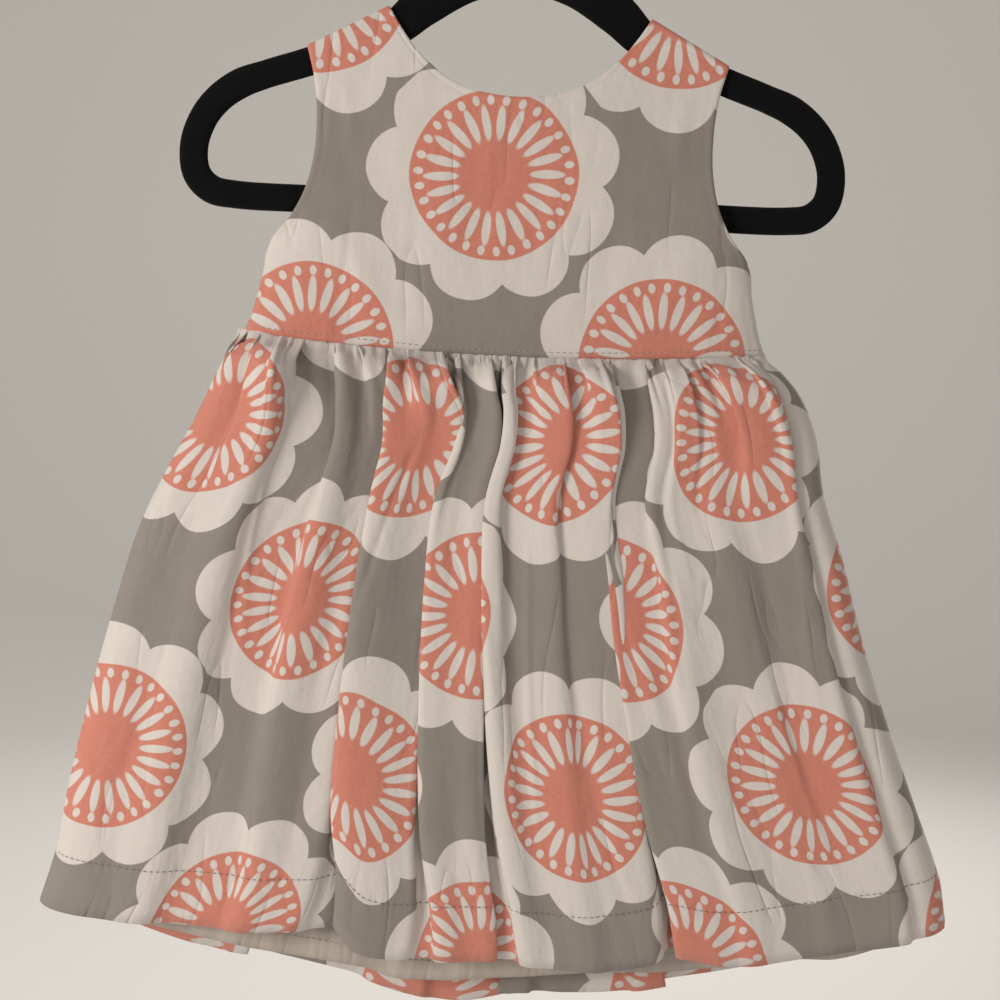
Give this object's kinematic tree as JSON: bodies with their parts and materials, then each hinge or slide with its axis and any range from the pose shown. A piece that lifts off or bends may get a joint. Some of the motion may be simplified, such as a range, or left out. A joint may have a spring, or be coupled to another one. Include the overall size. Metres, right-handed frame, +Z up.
{
  "type": "toddler sundress on a child's hanger",
  "caption": "Sleeveless flower-print toddler dress with a gathered, lined skirt and a buttoned back, hanging flat on a black child's loop hanger.",
  "frame": {"origin": "inner top of the hanger's hook, where a rail carries it", "axes": "+Z up, +X to the right seen from the front, the dress's front faces -Y"},
  "size_m": [0.5, 0.054, 0.645],
  "materials": {
    "printed_poplin": "matt cotton poplin, warm gray with large pale flowers and coral discs",
    "lining_cotton": "matt plain weave, light warm gray",
    "thread": "dark gray sewing thread",
    "button_plastic": "pale pearly shirt button",
    "flocked_plastic": "black, short velvet-like flock",
    "hook_wire": "plain satin steel wire"
  },
  "bodies": {
    "root": {"hanger": "flocked_plastic", "hanger_hook": "hook_wire", "bodice_front": "printed_poplin", "bodice_back_left": "printed_poplin", "bodice_back_right": "printed_poplin", "button_top": "button_plastic", "button_middle": "button_plastic", "button_bottom": "button_plastic", "skirt_front": "printed_poplin", "skirt_back": "printed_poplin", "lining_front": "lining_cotton", "lining_back": "lining_cotton"}
  },
  "joints": []
}
